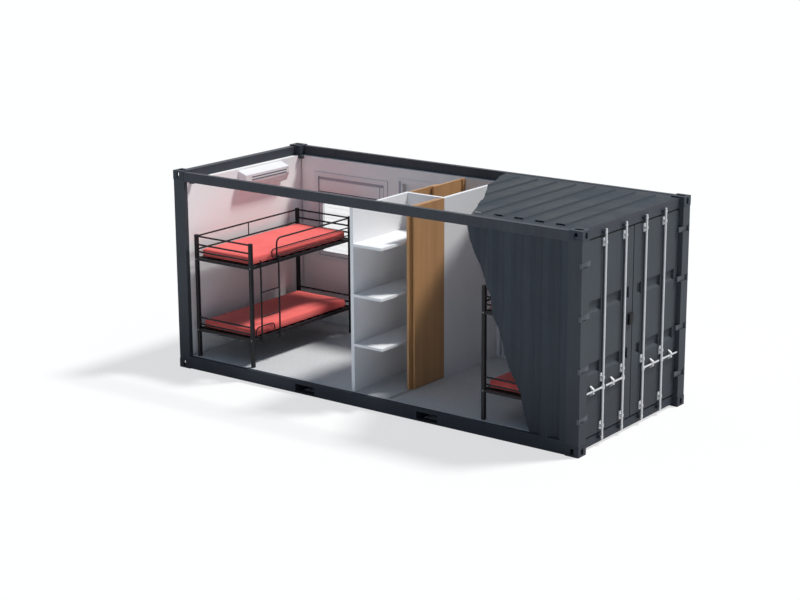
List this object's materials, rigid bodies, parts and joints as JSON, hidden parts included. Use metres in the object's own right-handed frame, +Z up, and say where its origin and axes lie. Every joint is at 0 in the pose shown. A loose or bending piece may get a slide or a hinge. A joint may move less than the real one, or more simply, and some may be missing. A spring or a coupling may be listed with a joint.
{
  "type": "shipping container cabin",
  "caption": "Container cabin with corrugated steel walls, cut away at front and roof over rooms with bunk beds and wardrobes, cargo doors with locking bars at one end and hinged room doors",
  "frame": {"origin": "Centre of the footprint, on the ground under the bottom corner castings", "axes": "+X along the length towards the cargo doors, +Y across towards the wall with the windows, +Z up"},
  "size_m": [6.058, 2.438, 2.591],
  "materials": {
    "container_steel": "satin anthracite paint, weathered",
    "lock_bar_steel": "galvanised, pale grey",
    "bright_metal": "satin",
    "floor_vinyl": "pale grey sheet floor",
    "white_panel": "smooth white wall panel",
    "white_frame": "white window and door profile",
    "shutter_plastic": "off-white slats",
    "glass": "clear",
    "wood_board": "mid-brown wood-grain board",
    "bunk_steel": "near-black powder coat",
    "mattress_cover": "red woven cover",
    "white_plastic": "white moulded housing",
    "rubber": "black seal"
  },
  "bodies": {
    "container": {"air_conditioner": "white_plastic", "back_lining_piers": "white_panel", "back_lining_spandrels": "white_panel", "back_partition": "white_panel", "back_skin_piers": "container_steel", "back_skin_spandrels": "container_steel", "blind_end_rails": "container_steel", "blind_lining": "white_panel", "blind_skin": "container_steel", "bottom_side_rails": "container_steel", "bunk_decks": "bunk_steel", "bunk_end_rails": "bunk_steel", "bunk_guards": "bunk_steel", "bunk_ladders": "bunk_steel", "bunk_posts": "bunk_steel", "ceiling_lining": "white_panel", "corner_castings": "container_steel", "corner_posts": "container_steel", "cross_partition": "white_panel", "door_header": "container_steel", "door_jambs": "white_frame", "door_sill": "container_steel", "doorway_crosspieces": "white_frame", "floor_cross_members": "container_steel", "floor_deck": "floor_vinyl", "fork_pockets": "container_steel", "front_lining": "white_panel", "front_panel": "container_steel", "front_partition": "white_panel", "hinge_lugs": "container_steel", "keepers": "container_steel", "lower_mattresses": "mattress_cover", "roller_shutters": "shutter_plastic", "roof_panel": "container_steel", "shelves": "white_panel", "top_side_rails": "container_steel", "upper_mattresses": "mattress_cover", "wardrobe_post": "wood_board", "wardrobe_tracks": "bright_metal", "window_frames": "white_frame", "window_glass": "glass"},
    "left_cargo_door": {"left_cargo_door": "container_steel", "left_door_gasket": "rubber", "left_door_fittings": "container_steel"},
    "left_inner_lock_bar": {"left_inner_lock_bar": "lock_bar_steel"},
    "left_outer_lock_bar": {"left_outer_lock_bar": "lock_bar_steel"},
    "left_room_door": {"left_room_door": "white_frame", "left_room_lever": "bright_metal"},
    "right_cargo_door": {"right_cargo_door": "container_steel", "right_door_gasket": "rubber", "right_door_fittings": "container_steel"},
    "right_inner_lock_bar": {"right_inner_lock_bar": "lock_bar_steel"},
    "right_outer_lock_bar": {"right_outer_lock_bar": "lock_bar_steel"},
    "right_room_door": {"right_room_door": "white_frame", "right_room_lever": "bright_metal"},
    "right_wardrobe_inner_leaf": {"right_wardrobe_inner_leaf": "wood_board"},
    "right_wardrobe_outer_leaf": {"right_wardrobe_outer_leaf": "wood_board"},
    "left_wardrobe_front_leaf": {"left_wardrobe_front_leaf": "wood_board"},
    "left_wardrobe_back_leaf": {"left_wardrobe_back_leaf": "wood_board"}
  },
  "joints": [
    {"name": "left_cargo_door_hinge", "type": "hinge", "parent": "container", "child": "left_cargo_door", "pos_m": [3.0165, -1.2065, 1.31], "axis": [0, 0, -1], "range_deg": [0, 265]},
    {"name": "right_cargo_door_hinge", "type": "hinge", "parent": "container", "child": "right_cargo_door", "pos_m": [3.0165, 1.2065, 1.31], "axis": [0, 0, 1], "range_deg": [0, 265]},
    {"name": "left_inner_bar_turn", "type": "hinge", "parent": "left_cargo_door", "child": "left_inner_lock_bar", "pos_m": [3.003, -0.229, 0.695], "axis": [0, 0, -1], "range_deg": [-90, 0]},
    {"name": "left_outer_bar_turn", "type": "hinge", "parent": "left_cargo_door", "child": "left_outer_lock_bar", "pos_m": [3.003, -0.671, 0.695], "axis": [0, 0, -1], "range_deg": [-90, 0]},
    {"name": "right_inner_bar_turn", "type": "hinge", "parent": "right_cargo_door", "child": "right_inner_lock_bar", "pos_m": [3.003, 0.229, 0.695], "axis": [0, 0, 1], "range_deg": [-90, 0]},
    {"name": "right_outer_bar_turn", "type": "hinge", "parent": "right_cargo_door", "child": "right_outer_lock_bar", "pos_m": [3.003, 0.671, 0.695], "axis": [0, 0, 1], "range_deg": [-90, 0]},
    {"name": "left_room_door_hinge", "type": "hinge", "parent": "container", "child": "left_room_door", "pos_m": [-1.152, 1.2105, 1.23], "axis": [0, 0, 1], "range_deg": [0, 105]},
    {"name": "right_room_door_hinge", "type": "hinge", "parent": "container", "child": "right_room_door", "pos_m": [1.292, 1.2105, 1.23], "axis": [0, 0, -1], "range_deg": [0, 105]},
    {"name": "right_wardrobe_inner_slide", "type": "slide", "parent": "container", "child": "right_wardrobe_inner_leaf", "axis": [0, -1, 0], "range_m": [0, 0.392]},
    {"name": "right_wardrobe_outer_slide", "type": "slide", "parent": "container", "child": "right_wardrobe_outer_leaf", "axis": [0, -1, 0], "range_m": [0, 0.46]},
    {"name": "left_wardrobe_front_slide", "type": "slide", "parent": "container", "child": "left_wardrobe_front_leaf", "axis": [0, 1, 0], "range_m": [0, 0.46]},
    {"name": "left_wardrobe_back_slide", "type": "slide", "parent": "container", "child": "left_wardrobe_back_leaf", "axis": [0, -1, 0], "range_m": [0, 0.425]}
  ]
}
